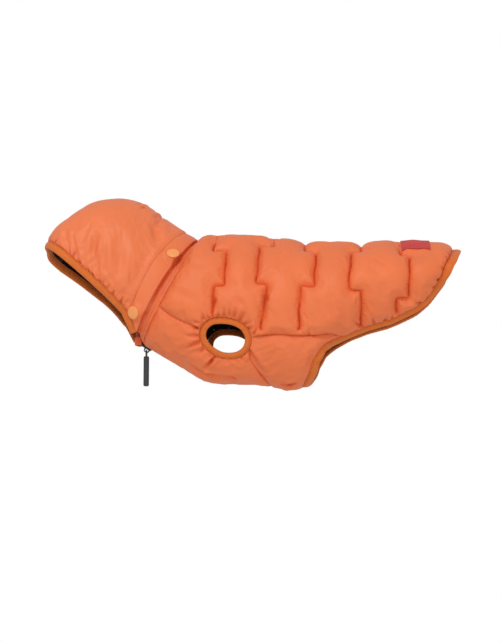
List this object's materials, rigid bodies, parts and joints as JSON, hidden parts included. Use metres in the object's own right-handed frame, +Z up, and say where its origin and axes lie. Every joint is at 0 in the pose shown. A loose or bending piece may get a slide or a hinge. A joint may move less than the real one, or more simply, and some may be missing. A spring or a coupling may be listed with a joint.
{
  "type": "dog winter coat",
  "caption": "Hooded quilted winter coat for a small dog, filled out as worn, with leg holes, bound hems, a snapped-on hood and a belly zip whose pull swings.",
  "frame": {"origin": "on the lining over the spine at the withers, between the shoulders", "axes": "+X towards the tail, -X towards the head, -Y the coat's left side, +Z up"},
  "size_m": [0.4793, 0.1403, 0.2194],
  "materials": {
    "shell": "satin woven orange shell over wadding",
    "hood_shell": "satin woven orange shell",
    "guard": "bright red-orange woven shell, folded over the zip's top",
    "binding": "darker orange ribbed elastic binding",
    "label": "plain red woven label",
    "zip_chain": "black tape with a moulded coil",
    "slider_metal": "dark enamel",
    "pull_rubber": "matte dark grey",
    "snap_cap": "satin tangerine"
  },
  "bodies": {
    "coat": {"back_panel": "shell", "chest_left": "shell", "chest_right": "shell", "belly_left": "shell", "belly_right": "shell", "collar": "shell", "zip_guard": "guard", "hood_left": "hood_shell", "hood_right": "hood_shell", "hood_band": "hood_shell", "hood_binding": "binding", "hem_binding": "binding", "leg_binding_left": "binding", "leg_binding_right": "binding", "label": "label", "zip_strip": "zip_chain", "zip_slider": "slider_metal", "snap_back_left": "snap_cap", "snap_back_right": "snap_cap", "snap_throat_left": "snap_cap", "snap_throat_right": "snap_cap"},
    "zip_pull": {"zip_pull": "pull_rubber"}
  },
  "joints": [
    {"name": "pull_swing", "type": "hinge", "parent": "coat", "child": "zip_pull", "pos_m": [-0.09802, 0, -0.12197], "axis": [0, 1, 0], "range_deg": [-50, 95]}
  ]
}
